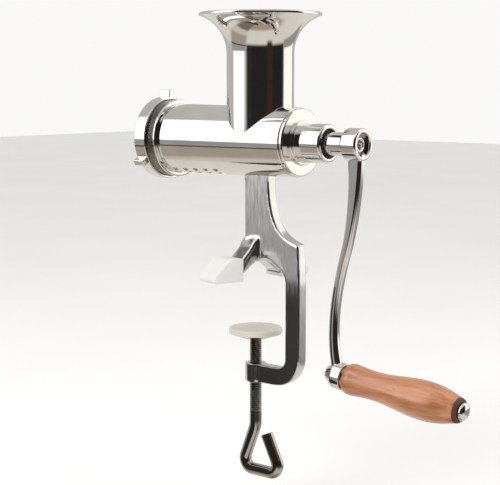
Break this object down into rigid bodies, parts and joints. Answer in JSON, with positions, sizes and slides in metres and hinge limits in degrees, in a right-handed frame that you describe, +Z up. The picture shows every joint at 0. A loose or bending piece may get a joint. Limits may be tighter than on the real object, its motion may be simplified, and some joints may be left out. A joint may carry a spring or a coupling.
{
  "type": "hand-cranked juice press",
  "caption": "Clamp-on hand-cranked auger juice press: horizontal barrel, flared feed chute, ring nut, S-curved crank with a turned wooden grip, and a table clamp with a loop-handled screw.",
  "frame": {"origin": "on the table-top plane, which the boots stand on, on the clamp screw's axis and on the object's mid-plane", "axes": "+Z up, +X along the barrel from the ring nut towards the crank, +Y to the left when looking along +X"},
  "size_m": [0.3327, 0.1086, 0.4198],
  "materials": {
    "polished_steel": "polished stainless steel",
    "cast_steel": "satin cast stainless steel",
    "screw_steel": "drawn stainless rod and turned parts",
    "bush_bronze": "sintered bronze",
    "seal_rubber": "black rubber",
    "boot_rubber": "off-white moulded rubber",
    "pad_plastic": "off-white moulded plastic",
    "grip_wood": "varnished beech",
    "fibre": "dark red-brown fibre"
  },
  "bodies": {
    "body": {"barrel": "polished_steel", "thread_collar": "polished_steel", "juice_screen": "polished_steel", "feed_chute": "polished_steel", "rear_cover": "polished_steel", "cover_seal": "seal_rubber", "rear_bush": "bush_bronze", "shaft_seal": "seal_rubber", "pedestal": "polished_steel", "clamp_jaw": "polished_steel", "left_boot": "boot_rubber", "right_boot": "boot_rubber", "front_seal": "boot_rubber"},
    "crank": {"auger": "cast_steel", "drive_shaft": "polished_steel", "crank_hub": "polished_steel", "crank_arm": "polished_steel", "grip_boss": "polished_steel", "hub_washer": "screw_steel", "hub_screw": "screw_steel", "grip_spindle": "screw_steel", "grip_cap": "polished_steel", "inner_washer": "screw_steel"},
    "grip": {"wooden_grip": "grip_wood", "outer_washer": "fibre"},
    "end_plate": {"front_plate": "polished_steel"},
    "nut": {"ring_nut": "polished_steel"},
    "pad": {"pad_cup": "screw_steel", "pad_cover": "pad_plastic"},
    "screw": {"clamp_screw": "screw_steel", "pad_clip": "screw_steel"}
  },
  "joints": [
    {"name": "crank_turn", "type": "hinge", "parent": "body", "child": "crank", "pos_m": [0, 0, 0.1235], "axis": [1, 0, 0], "continuous": true},
    {"name": "grip_spin", "type": "hinge", "parent": "crank", "child": "grip", "pos_m": [0.088, 0, -0.0761], "axis": [0.9954, 0, -0.0958], "continuous": true},
    {"name": "nut_feed", "type": "slide", "parent": "body", "child": "end_plate", "axis": [1, 0, 0], "range_m": [-0.00901, 0]},
    {"name": "nut_turn", "type": "hinge", "parent": "end_plate", "child": "nut", "pos_m": [0, 0, 0.1235], "axis": [1, 0, 0], "range_deg": [-1080, 0]},
    {"name": "clamp_feed", "type": "slide", "parent": "body", "child": "pad", "axis": [0, 0, 1], "range_m": [-0.02177, 0.0254]},
    {"name": "screw_turn", "type": "hinge", "parent": "pad", "child": "screw", "pos_m": [0, 0, 0], "axis": [0, 0, 1], "range_deg": [-4320, 5040]}
  ],
  "couplings": [
    {"joint": "nut_feed", "follows": "nut_turn", "m_per_rad": 0.00047746},
    {"joint": "clamp_feed", "follows": "screw_turn", "m_per_rad": 0.00028871}
  ]
}
